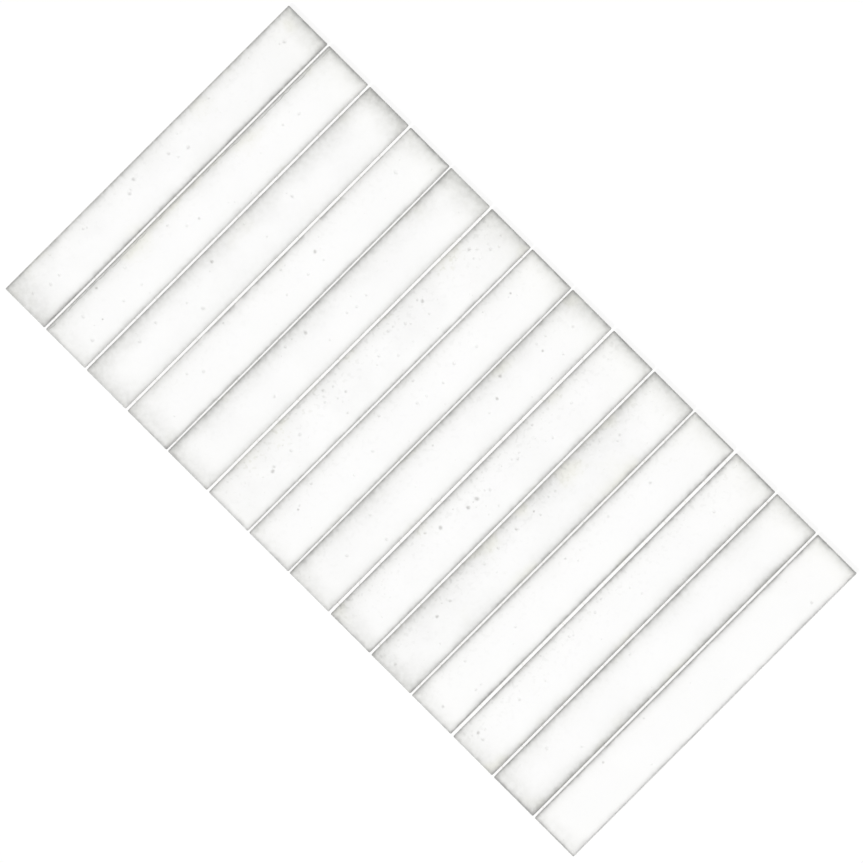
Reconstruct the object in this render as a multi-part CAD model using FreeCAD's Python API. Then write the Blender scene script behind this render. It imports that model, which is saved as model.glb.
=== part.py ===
"""Sheet of white glazed finger mosaic: ceramic fingers in a row, their backs glued to one open-weave net.

Millimetres. The origin is at the middle of the sheet's footprint, on the surface that the net lies on.
+X runs along the row, across the fingers. +Y runs along each finger. +Z is up, out of the glazed faces.
"""

import FreeCAD, Part
import math
import os
from FreeCAD import Vector

# Fingers and the joints between them
finger_length = 145.0
finger_width = 20.0
finger_thickness = 7.0
joint_width = 0.8
# The joints are uneven, as laid by hand: each one's difference from joint_width, from -X to +X
joint_unevenness = (-0.1, 0.0, 0.1, -0.2, 0.1, -0.1, -0.2, 0.2, 0.0, -0.1, 0.3, 0.0, 0.0)

# Cushion edge: the glazed face falls away all round in a long arc, then turns down over a tight arris
cushion_width = 4.0
cushion_slope = 20.0
arris_radius = 0.8

# Pressed body: the sides lean in towards the back, and the upright corners are barely rounded
side_draft = 0.25
corner_radius = 0.5

# Keys: shallow grooves pressed along the back, with a thread of the net on every third rib between them
keys_per_thread = 3
key_count = 5
key_width = 2.0
key_depth = 0.4
key_end_margin = 7.0

# Open-weave net across the backs, stopping short of the sheet's edges
threads_per_finger = 2
thread_width = 0.8
net_thickness = 0.5
net_margin = 2.5

# Places that follow from the sizes
finger_count = len(joint_unevenness) + 1
finger_pitch = finger_width + joint_width
sheet_length = finger_pitch * finger_count - joint_width + sum(joint_unevenness)
thread_pitch = finger_pitch / threads_per_finger
key_spacing = thread_pitch / keys_per_thread
back_level = net_thickness
face_level = back_level + finger_thickness

# Cut tools run past what they cut by this much
overrun = 1.0


def evenly(count, spacing):
    """Places of count things, spacing apart, with their middle at 0."""
    return [(index - (count - 1) / 2) * spacing for index in range(count)]


def point_on_arc(middle, radius, degrees):
    """Point in the XZ plane, degrees round from straight above the arc's middle towards +X."""
    turn = math.radians(degrees)
    return middle + Vector(radius * math.sin(turn), 0, radius * math.cos(turn))


def arc(middle, radius, start, end):
    """Arc in the XZ plane from start to end, in degrees from straight above its middle."""
    points = [point_on_arc(middle, radius, degrees) for degrees in (start, (start + end) / 2, end)]
    return Part.Arc(*points).toShape()


def half_section(half_size):
    """Edges of a finger's +X half in section, from the back up: leaning side, arris and cushion."""
    slope = math.radians(cushion_slope)
    cushion_radius = (cushion_width - arris_radius * (1 - math.sin(slope))) / math.sin(slope)
    cushion_middle = Vector(half_size - cushion_width, 0, face_level - cushion_radius)
    arris_middle = point_on_arc(cushion_middle, cushion_radius - arris_radius, cushion_slope)
    shoulder = point_on_arc(arris_middle, arris_radius, 90)
    foot = Vector(half_size - side_draft, 0, back_level)
    side = Part.makeLine(foot, shoulder)
    arris = arc(arris_middle, arris_radius, 90, cushion_slope)
    cushion = arc(cushion_middle, cushion_radius, cushion_slope, 0)
    return [side, arris, cushion]


def section_bar(half_size, half_run):
    """Bar of a finger's full section, half_size each way in X, run along Y past half_run at both ends."""
    right = half_section(half_size)
    left = [edge.mirror(Vector(0, 0, 0), Vector(1, 0, 0)) for edge in reversed(right)]
    back = Part.makeLine(left[-1].Vertexes[0].Point, right[0].Vertexes[0].Point)
    flat = Part.makeLine(right[-1].Vertexes[-1].Point, left[0].Vertexes[-1].Point)
    section = Part.Face(Part.Wire([back, *right, flat, *left]))
    section.translate(Vector(0, -half_run - overrun, 0))
    return section.extrude(Vector(0, 2 * (half_run + overrun), 0))


def outline_post():
    """Upright post of the finger's outline, with its four corners rounded, taller than the finger."""
    corner = Vector(-finger_width / 2, -finger_length / 2, back_level - overrun)
    post = Part.makeBox(finger_width, finger_length, finger_thickness + 2 * overrun, corner)
    upright = [edge for edge in post.Edges if edge.BoundBox.ZLength > finger_thickness]
    return post.makeFillet(corner_radius, upright)


def key_groove(x):
    """Straight groove along the back at x, square at its ends."""
    length = finger_length - 2 * key_end_margin
    corner = Vector(x - key_width / 2, -length / 2, back_level - overrun)
    return Part.makeBox(key_width, length, key_depth + overrun, corner)


def finger(middle):
    """One finger with its middle at X = middle: what its sections and outline share, less the keys."""
    across = section_bar(finger_width / 2, finger_length / 2)
    along = section_bar(finger_length / 2, finger_width / 2)
    along.rotate(Vector(0, 0, 0), Vector(0, 0, 1), 90)
    blank = across.common(along).common(outline_post())
    keyed = blank.cut([key_groove(x) for x in evenly(key_count, key_spacing)])
    keyed.translate(Vector(middle, 0, 0))
    return keyed


def finger_middles():
    """X of each finger's middle, from -X to +X."""
    middles = [(finger_width - sheet_length) / 2]
    for unevenness in joint_unevenness:
        middles.append(middles[-1] + finger_pitch + unevenness)
    return middles


def thread_print(width, length, x, y):
    """Footprint of one thread of the net, width by length, with its middle at (x, y)."""
    return Part.makePlane(width, length, Vector(x - width / 2, y - length / 2, 0))


def backing_net():
    """The net as one piece: threads along the fingers, bound to those along the row where they cross."""
    length = finger_length - 2 * net_margin
    width = sheet_length - 2 * net_margin
    warp_places = evenly(finger_count * threads_per_finger, thread_pitch)
    weft_places = evenly(int((length - thread_width) / thread_pitch) + 1, thread_pitch)
    warp = [thread_print(thread_width, length, x, 0) for x in warp_places]
    weft = [thread_print(width, thread_width, 0, y) for y in weft_places]
    weave = warp[0].multiFuse(warp[1:] + weft).removeSplitter()
    return weave.Faces[0].extrude(Vector(0, 0, net_thickness))


def main():
    os.makedirs("parts", exist_ok=True)
    for number, middle in enumerate(finger_middles(), start=1):
        finger(middle).exportStep(f"parts/finger_{number:02d}.step")
    backing_net().exportStep("parts/backing_net.step")


main()
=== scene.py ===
"""Looks of a sheet of white glazed finger mosaic: ceramic fingers in a row, glued to a woven net.

Meshes are worked out in millimetres and stored in metres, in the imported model's frame: +X runs along the
row, +Y along each finger, and +Z up out of the glazed faces. The sheet lies on its net at Z = 0.
"""

import logging
import math
from dataclasses import dataclass
from enum import Enum

import bpy
import numpy as np
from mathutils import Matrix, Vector
from mathutils.geometry import delaunay_2d_cdt


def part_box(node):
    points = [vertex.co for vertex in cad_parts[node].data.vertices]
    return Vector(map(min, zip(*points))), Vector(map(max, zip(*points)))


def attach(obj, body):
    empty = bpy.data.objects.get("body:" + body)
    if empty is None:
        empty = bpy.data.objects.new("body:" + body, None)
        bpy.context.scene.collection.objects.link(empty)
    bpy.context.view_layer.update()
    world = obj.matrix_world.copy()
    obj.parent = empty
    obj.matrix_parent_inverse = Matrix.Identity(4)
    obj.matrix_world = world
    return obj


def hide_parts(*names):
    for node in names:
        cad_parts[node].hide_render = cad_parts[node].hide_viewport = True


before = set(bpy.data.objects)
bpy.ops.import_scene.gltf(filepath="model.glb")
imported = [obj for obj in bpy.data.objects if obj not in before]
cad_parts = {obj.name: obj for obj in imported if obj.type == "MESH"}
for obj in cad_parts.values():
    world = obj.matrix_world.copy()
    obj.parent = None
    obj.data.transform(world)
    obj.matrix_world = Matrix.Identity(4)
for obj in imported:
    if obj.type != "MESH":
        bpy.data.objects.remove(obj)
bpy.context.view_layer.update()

Array = np.ndarray
Skin = list[tuple[int, ...]]
Pair = tuple[float, float]
Four = tuple[float, float, float, float]
Colour = Four
Socket = bpy.types.NodeSocket
Node = bpy.types.Node
Tree = bpy.types.NodeTree
Material = bpy.types.Material
Object = bpy.types.Object

MM = 0.001
BODY = "root"
LOG = logging.getLogger("finger_mosaic")

# Level of the glazed faces, in metres, and how near to each other triangulated points count as one
FACE_LEVEL = 0.0075
SAME_PLACE = 1e-7

# The net's threads on each finger's back, the grooves from one thread to the next, and which of the threads
# along the row have dabs of glue on them
THREADS_PER_FINGER = 2
GROOVES_PER_THREAD = 3
GLUED_THREADS = [1, 4, 9, 12]


class Edge(Enum):
    """The four edges of a finger's face."""

    ROW_START = "Row Start"
    ROW_END = "Row End"
    NEAR_END = "Near End"
    FAR_END = "Far End"


class Part(Enum):
    """Which of a finger's two finishes a face takes, as its material index."""

    GLAZE = 0
    BISQUE = 1


# Random fields and plain geometry


class Ripple:
    """Smooth random field over the plane, from about -1 to 1: a sum of seeded plane waves."""

    def __init__(self, rng: np.random.Generator, shortest: float, longest: float, count: int = 14) -> None:
        """Draws the waves.

        Args:
            rng: Seeded source of the waves' directions, lengths and phases.
            shortest: Shortest wavelength, in millimetres.
            longest: Longest wavelength, in millimetres.
            count: How many waves are summed.
        """
        length = shortest * (longest / shortest) ** rng.uniform(0, 1, count)
        heading = rng.uniform(0, math.tau, count)
        self.wave = math.tau / length * np.stack([np.cos(heading), np.sin(heading)])
        self.phase = rng.uniform(0, math.tau, count)
        self.weight = length / np.sqrt(np.sum(length**2) / 2)

    def at(self, points: Array) -> Array:
        """Values of the field at points, of which the first two columns are read."""
        return np.clip(np.sin(points[:, :2] @ self.wave + self.phase) @ self.weight / 2, -1, 1)


@dataclass(frozen=True)
class LoopGrain:
    """How many points a rounded rectangle has on each long side, short side and corner."""

    long: int
    short: int
    corner: int

    @property
    def total(self) -> int:
        """Points all the way round."""
        return 2 * (self.long + self.short) + 4 * self.corner


def rounded_rectangle(half_x: float, half_y: float, radius: float, grain: LoopGrain) -> tuple[Array, Array]:
    """Rounded rectangle about the origin, anticlockwise from the lower end of its +X side.

    Args:
        half_x: Half of its size along X, the short way.
        half_y: Half of its size along Y, the long way.
        radius: Radius of its corners.
        grain: How many points each stretch has.

    Returns:
        Its points and their outward normals, each of shape (grain.total, 2).
    """
    core_x, core_y = half_x - radius, half_y - radius
    points, normals = [], []
    for quarter in range(4):
        turn = quarter * math.pi / 2
        out = np.array([math.cos(turn), math.sin(turn)])
        ahead = np.array([-out[1], out[0]])
        across, along = (half_x, core_y) if quarter % 2 == 0 else (half_y, core_x)
        count = grain.long if quarter % 2 == 0 else grain.short
        run = np.linspace(-along, along, count, endpoint=False)
        points.append(out * across + ahead * run[:, None])
        normals.append(np.tile(out, (count, 1)))
        bend = turn + np.linspace(0, math.pi / 2, grain.corner, endpoint=False)
        round_out = np.stack([np.cos(bend), np.sin(bend)], axis=1)
        points.append(out * (across - radius) + ahead * along + radius * round_out)
        normals.append(round_out)
    return np.concatenate(points), np.concatenate(normals)


def triangulate(rim: Array, inner: Array, chains: list[range]) -> Skin:
    """Fills a rim with triangles through all the inner points.

    Args:
        rim: Points of the boundary, anticlockwise.
        inner: Points inside it.
        chains: Closed chains of points, numbered with the rim first, whose edges are kept.

    Returns:
        Triangles, anticlockwise, as point numbers with the rim's points first.
    """
    flat = [Vector(point) for point in np.concatenate([rim, inner])[:, :2].tolist()]
    edges = [(chain[i - 1], chain[i]) for chain in chains for i in range(len(chain))]
    _, _, cut, names, _, within = delaunay_2d_cdt(flat, edges, [list(range(len(rim)))], 0, SAME_PLACE, True)
    return [tuple(names[corner][0] for corner in face) for face, inside in zip(cut, within) if inside]


def ring_faces(rings: int, count: int, turned: bool = False) -> Skin:
    """Joins rings of points, each to the next.

    Args:
        rings: How many rings there are.
        count: How many points each ring has.
        turned: Whether the faces look the other way.

    Returns:
        Faces of four corners, as point numbers.
    """
    faces = []
    for near in range(0, (rings - 1) * count, count):
        far = near + count
        for i in range(count):
            j = (i + 1) % count
            corners = (near + i, far + i, far + j, near + j)
            faces.append((corners[0], *corners[:0:-1]) if turned else corners)
    return faces


class Bundle:
    """Closed skins of rings of points, gathered into one mesh."""

    def __init__(self) -> None:
        """Starts with nothing in it."""
        self.points: list[Array] = []
        self.faces: Skin = []

    def add(self, points: Array, count: int, turned: bool = False) -> None:
        """Adds a skin and closes it at its first and last ring.

        Args:
            points: Its points, ring by ring, of shape (n, 3).
            count: How many points each ring has.
            turned: Whether its faces look the other way.
        """
        first = sum(len(skin) for skin in self.points)
        faces = ring_faces(len(points) // count, count, turned)
        start = tuple(range(count))
        end = tuple(range(len(points) - count, len(points)))
        faces += [start[::-1], end] if turned else [start, end[::-1]]
        self.faces.extend(tuple(first + corner for corner in face) for face in faces)
        self.points.append(points)

    def finish(self, name: str) -> Object:
        """Makes the mesh object."""
        return make_object(name, np.concatenate(self.points), self.faces)


def make_object(name: str, points: Array, faces: Skin, finish_of: list[int] | None = None) -> Object:
    """Smooth-shaded mesh object, linked to the scene.

    Args:
        name: Name of the object and its mesh.
        points: Its vertices in millimetres, of shape (n, 3).
        faces: Its faces as tuples of vertex numbers.
        finish_of: Material index of each face, or None where there is one material.

    Returns:
        The new object.
    """
    mesh = bpy.data.meshes.new(name)
    mesh.from_pydata((points * MM).tolist(), [], faces)
    mesh.shade_smooth()
    if finish_of is not None:
        mesh.polygons.foreach_set("material_index", finish_of)
    mesh.validate()
    mesh.update()
    made = bpy.data.objects.new(name, mesh)
    bpy.context.scene.collection.objects.link(made)
    return made


# Shader building, with the sockets of a Mix node that take its two colours and give the mixed one

MIX_FIRST = 6
MIX_SECOND = 7
MIX_RESULT = 2


@dataclass(frozen=True)
class Drift:
    """Noise of one scale and detail, whose values from low to high are stretched to least to most."""

    scale: float
    detail: float
    low: float
    high: float
    least: float
    most: float


class Wiring:
    """Short hand for a node tree: each method adds a node and gives back its output socket."""

    def __init__(self, tree: Tree) -> None:
        """Keeps the tree that the nodes go into."""
        self.tree = tree

    def node(self, kind: str, **settings: object) -> Node:
        """Adds a node.

        Args:
            kind: Blender's name for the kind of node.
            settings: Properties to set on it.

        Returns:
            The node itself.
        """
        made = self.tree.nodes.new(kind)
        for key, value in settings.items():
            setattr(made, key, value)
        return made

    def feed(self, socket: Socket, value: object) -> None:
        """Links a socket to value where that is a socket, and otherwise sets it to value.

        Args:
            socket: The input socket.
            value: A socket, number, colour or vector.
        """
        if isinstance(value, Socket):
            self.tree.links.new(value, socket)
        else:
            socket.default_value = value

    def filled(self, made: Node, values: dict, out: int | str = 0) -> Socket:
        """Feeds a node's inputs.

        Args:
            made: The node.
            values: What goes into each input, by its name or number.
            out: Which output is wanted.

        Returns:
            That output.
        """
        for key, value in values.items():
            self.feed(made.inputs[key], value)
        return made.outputs[out]

    def math(self, operation: str, *values: object, clamp: bool = False) -> Socket:
        """Math node on one to three values."""
        made = self.node("ShaderNodeMath", operation=operation, use_clamp=clamp)
        return self.filled(made, dict(enumerate(values)))

    def times(self, first: object, second: object) -> Socket:
        """Product of two values."""
        return self.math("MULTIPLY", first, second)

    def plus(self, first: object, second: object) -> Socket:
        """Sum of two values."""
        return self.math("ADD", first, second)

    def less(self, first: object, second: object) -> Socket:
        """First value less the second."""
        return self.math("SUBTRACT", first, second)

    def span(self, value: object, low: float, high: float, to_low: object, to_high: object) -> Socket:
        """Smooth step of value, from to_low at low to to_high at high."""
        made = self.node("ShaderNodeMapRange", interpolation_type="SMOOTHSTEP")
        return self.filled(made, dict(enumerate((value, low, high, to_low, to_high))))

    def blend(self, share: object, first: object, second: object) -> Socket:
        """Colour mix, from first at a share of 0 to second at a share of 1."""
        made = self.node("ShaderNodeMix", data_type="RGBA")
        return self.filled(made, {0: share, MIX_FIRST: first, MIX_SECOND: second}, MIX_RESULT)

    def noise(self, place: object, scale: object, seed: object, detail: float = 2.0) -> Socket:
        """Noise texture, about 0.5 on average, that seed shifts to another pattern."""
        made = self.node("ShaderNodeTexNoise", noise_dimensions="4D")
        return self.filled(made, {"Vector": place, "W": seed, "Scale": scale, "Detail": detail}, "Fac")

    def drift(self, kind: Drift, place: object, seed: object, most: object = None) -> Socket:
        """Drift over the surface, with most in place of its own where that is given."""
        cloud = self.noise(place, kind.scale, seed, kind.detail)
        return self.span(cloud, kind.low, kind.high, kind.least, kind.most if most is None else most)

    def decay(self, gap: object, reach: object, fade: object = 1.0) -> Socket:
        """Fall from 1 at a gap of 0 by a factor of e at reach, flatter at first where fade is over 1."""
        share = self.math("MAXIMUM", self.math("DIVIDE", gap, reach), 0.0)
        return self.math("EXPONENT", self.times(self.math("POWER", share, fade), -1.0))

    def place(self) -> Socket:
        """Place on the object, in metres."""
        return self.node("ShaderNodeTexCoord").outputs["Object"]


def cleared(owner: Material | bpy.types.World) -> Wiring:
    """Turns on the nodes of a material or world and clears them.

    Args:
        owner: The material or world.

    Returns:
        Its wiring.
    """
    owner.use_nodes = True
    owner.node_tree.nodes.clear()
    return Wiring(owner.node_tree)


@dataclass(frozen=True)
class Effect:
    """A named shader node group, built once, with its inputs' names and starting values."""

    name: str
    inputs: dict[str, float]
    outputs: tuple[str, ...]

    def wiring(self) -> tuple[Wiring, bpy.types.NodeOutputs, bpy.types.NodeInputs]:
        """Makes the empty group.

        Returns:
            The group's wiring, the sockets that its inputs come from and those that its outputs go to.
        """
        group = bpy.data.node_groups.new(self.name, "ShaderNodeTree")
        for name, start in self.inputs.items():
            socket = group.interface.new_socket(name, in_out="INPUT", socket_type="NodeSocketFloat")
            socket.default_value = start
        for name in self.outputs:
            group.interface.new_socket(name, in_out="OUTPUT", socket_type="NodeSocketFloat")
        wiring = Wiring(group)
        return wiring, wiring.node("NodeGroupInput").outputs, wiring.node("NodeGroupOutput").inputs


def place_effect(wiring: Wiring, group: Tree, **values: object) -> bpy.types.NodeOutputs:
    """Puts an effect's group into a material.

    Args:
        wiring: The material's wiring.
        group: The effect's node group.
        values: Its inputs by name, with _ for a space.

    Returns:
        The placed group's outputs.
    """
    made = wiring.node("ShaderNodeGroup", node_tree=group)
    wiring.filled(made, {name.replace("_", " "): value for name, value in values.items()})
    return made.outputs


# Shared effects, with their reaches, gaps and places in metres, and noise scales in blotches a metre

# The mottle: how much finer its second blotches are, their detail, the first ones' share, and the range
# that is stretched to run from 0 to 1
BLOTCH_STEP = 4.3
BLOTCH_DETAIL = 3.0
BLOTCH_SHARE = 0.65
BLOTCH_RANGE = (0.36, 0.64)

# How far in from each edge its grey band reaches, a band of painted shade where the face rounds over, partly
# thinner glaze, and how that varies along the edge
BAND_REACH = {Edge.ROW_START: 0.0023, Edge.ROW_END: 0.0015, Edge.NEAR_END: 0.0057, Edge.FAR_END: 0.0055}
BAND_DRIFT = Drift(60.0, 2.0, 0.3, 0.7, 0.7, 1.25)

# How the ends' bands fade: 1 is from the edge on, and more is only past a plateau
END_FADE = 2.0

# The tight line inside every edge, painted shade where the face turns down at the arris and partly thinner
# glaze: its darkest place, its reach past that and its share at the edge, which is lower there as painted
# bounce light from the joint, how the reach varies, where the line is missing, and how its strength varies
LINE_PLACE = 0.0004
LINE_REACH = 0.00049
LINE_START = 0.4
LINE_DRIFT = Drift(130.0, 2.0, 0.35, 0.65, 0.6, 1.3)
LINE_GAPS = Drift(70.0, 2.0, 0.47, 0.53, 0.0, 1.0)
LINE_STRENGTH = Drift(240.0, 2.0, 0.3, 0.7, 0.88, 1.1)

# The faint warm tint inside each edge: how far in it reaches, and its share at the edge
TINT_REACH = {Edge.ROW_START: 0.0050, Edge.ROW_END: 0.0040, Edge.NEAR_END: 0.0070, Edge.FAR_END: 0.0060}
TINT_SHARE = {Edge.ROW_START: 0.26, Edge.ROW_END: 0.20, Edge.NEAR_END: 0.16, Edge.FAR_END: 0.50}

# The grey's own speckle, and the fine flecks with how far in from the row-start edge they reach
SPECKLE = Drift(520.0, 3.0, 0.3, 0.7, 0.8, 1.2)
FLECKS = Drift(560.0, 1.0, 0.54, 0.68, 0.0, 1.0)
FLECK_REACH = 0.006

# How far below the face the painted edge shade and thinner-glaze grey starts and stops to fade on the sides,
# and what is left of it there
SIDE_FADE = (0.0012, 0.004)
SIDE_SHARE = 0.35


class Effects:
    """The node groups that the finishes share."""

    def __init__(self) -> None:
        """Builds each group once."""
        self.mottle = self.build_mottle()
        self.edge_shade_and_thinner_glaze = self.build_edge_shade_and_thinner_glaze()

    @staticmethod
    def build_mottle() -> Tree:
        """Cloudy mask from 0 to 1, of two sizes of blotch, and a finer grain for bumps.

        Returns:
            The group.
        """
        effect = Effect("Mottle", {"Scale": 40.0, "Seed": 0.0, "Fine Scale": 900.0}, ("Cloud", "Grain"))
        wiring, given, result = effect.wiring()
        place, seed = wiring.place(), given["Seed"]
        broad = wiring.noise(place, given["Scale"], seed)
        close = wiring.noise(place, wiring.times(given["Scale"], BLOTCH_STEP), seed, BLOTCH_DETAIL)
        cloud = wiring.plus(wiring.times(broad, BLOTCH_SHARE), wiring.times(close, 1 - BLOTCH_SHARE))
        wiring.feed(result["Cloud"], wiring.span(cloud, *BLOTCH_RANGE, 0.0, 1.0))
        wiring.feed(result["Grain"], wiring.noise(place, given["Fine Scale"], seed))
        return wiring.tree

    @staticmethod
    def build_edge_shade_and_thinner_glaze() -> Tree:
        """Thinner glaze and painted shade inside each edge: a tight line and a wider band, which paint the
        shade where the face rounds over, the band with flecks, and a faint wide tint.

        Returns:
            The group. It also puts out the gap to the row-start edge.
        """
        inputs = {"Middle": 0.0, "Half Width": 0.01, "Half Length": 0.0725, "Seed": 0.0, "Grit": 0.1}
        inputs |= {"Spread": 1.0, "End Spread": 1.0, "Start Fade": 1.0, "Line Breaks": 0.0}
        inputs |= {f"{edge.value} {kind}": 0.1 for edge in Edge for kind in ("Band", "Line")}
        wiring, given, result = Effect("Edge Shade And Thinner Glaze", inputs, ("Band", "Line", "Tint", "Start Gap")).wiring()
        place, seed = wiring.place(), given["Seed"]
        split = wiring.node("ShaderNodeSeparateXYZ")
        wiring.feed(split.inputs[0], place)
        across = wiring.less(split.outputs["X"], given["Middle"])
        gaps = {
            Edge.ROW_START: wiring.plus(given["Half Width"], across),
            Edge.ROW_END: wiring.less(given["Half Width"], across),
            Edge.NEAR_END: wiring.plus(given["Half Length"], split.outputs["Y"]),
            Edge.FAR_END: wiring.less(given["Half Length"], split.outputs["Y"]),
        }
        uneven = wiring.drift(BAND_DRIFT, place, seed)
        spread = wiring.times(uneven, given["Spread"])
        end_spread = wiring.times(uneven, given["End Spread"])
        shape = {Edge.ROW_START: (spread, given["Start Fade"]), Edge.ROW_END: (spread, 1.0)}
        line_reach = wiring.times(wiring.drift(LINE_DRIFT, place, seed), LINE_REACH)
        breaks = wiring.drift(LINE_GAPS, place, seed, given["Line Breaks"])
        kept = {Edge.ROW_START: wiring.less(1.0, breaks)}
        strength = wiring.drift(LINE_STRENGTH, place, seed)
        clear = {"Band": 1.0, "Line": 1.0, "Tint": 1.0}
        for edge, gap in gaps.items():
            past = wiring.math("MAXIMUM", wiring.less(gap, LINE_PLACE), 0.0)
            rise = wiring.span(gap, 0.0, LINE_PLACE, LINE_START, kept.get(edge, 1.0))
            line = wiring.times(wiring.decay(past, line_reach), wiring.times(rise, strength))
            width, fade = shape.get(edge, (end_spread, END_FADE))
            band = wiring.decay(gap, wiring.times(width, BAND_REACH[edge]), fade)
            shares = {
                "Band": wiring.times(band, given[f"{edge.value} Band"]),
                "Line": wiring.times(line, given[f"{edge.value} Line"]),
                "Tint": wiring.times(wiring.decay(gap, TINT_REACH[edge]), TINT_SHARE[edge]),
            }
            for kind, grey in shares.items():
                clear[kind] = wiring.times(clear[kind], wiring.math("SUBTRACT", 1.0, grey, clamp=True))
        down = wiring.less(FACE_LEVEL, split.outputs["Z"])
        lower = wiring.span(down, *SIDE_FADE, 1.0, SIDE_SHARE)
        share = wiring.times(wiring.drift(SPECKLE, place, seed), lower)
        grit = wiring.drift(FLECKS, place, seed, given["Grit"])
        flecks = {"Band": wiring.times(grit, wiring.decay(gaps[Edge.ROW_START], FLECK_REACH))}
        for kind, left in clear.items():
            grey = wiring.times(wiring.less(1.0, left), share)
            wiring.feed(result[kind], wiring.math("ADD", grey, flecks.get(kind, 0.0), clamp=True))
        wiring.feed(result["Start Gap"], gaps[Edge.ROW_START])
        return wiring.tree


# Finishes


def new_material(name: str) -> tuple[Material, Wiring, Node]:
    """Empty node material.

    Args:
        name: The material's name.

    Returns:
        The material, its wiring and its Principled shader, already joined to the output.
    """
    material = bpy.data.materials.new(name)
    wiring = cleared(material)
    shader = wiring.node("ShaderNodeBsdfPrincipled")
    wiring.feed(wiring.node("ShaderNodeOutputMaterial").inputs["Surface"], shader.outputs[0])
    return material, wiring, shader


def add_bump(wiring: Wiring, shader: Node, height: Socket, depth: float) -> None:
    """Gives a shader a bump of that depth, in metres, from a height of 0 to 1."""
    values = {"Strength": 1.0, "Distance": depth, "Height": height}
    wiring.feed(shader.inputs["Normal"], wiring.filled(wiring.node("ShaderNodeBump"), values))


@dataclass(frozen=True)
class Pinhole:
    """A pit in the glaze, in millimetres from the finger's middle. Its darkening, grime and painted shade in
    its hollow, runs from 0, clean, to 1.
    """

    along: float
    across: float
    radius: float
    pit_darkness: float = 0.17


@dataclass(frozen=True)
class FingerLook:
    """What sets one finger's glaze apart.

    Bands and lines are how grey each edge is, in Edge's order. The spreads widen the bands of the long edges
    and of the ends, and a start fade over 1 gives the row-start one a plateau. Line breaks, clouding,
    warmth, grit and crawl run from 0, none, to 1. Strays are how many tiny pits are tried besides the
    pinholes.
    """

    bands: Four
    lines: Four
    pinholes: tuple[Pinhole, ...]
    spread: float = 1.0
    end_spread: float = 1.0
    start_fade: float = 1.0
    line_breaks: float = 0.0
    clouding: float = 0.025
    warmth: float = 0.4
    grit: float = 0.10
    crawl: float = 0.0
    strays: int = 10


# The warm patches, and the crawl line: its place, its scallops, its breaks and how its sides fade. The seeds
# of the patches and the breaks are so much more than the finger's own.
PATCH_SEED = 0.5
BREAK_SEED = 0.3
WARM_PATCHES = Drift(70.0, 1.0, 0.5, 0.75, 0.0, 5.0)
CRAWL_PLACE = Drift(60.0, 1.0, 0.3, 0.7, 0.0008, 0.0012)
CRAWL_SCALLOPS = Drift(330.0, 1.0, 0.35, 0.65, -0.00022, 0.00022)
CRAWL_BREAKS = Drift(200.0, 1.0, 0.4, 0.55, 0.15, 1.0)
CRAWL_WIDTH = (0.00004, 0.00018)


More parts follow.
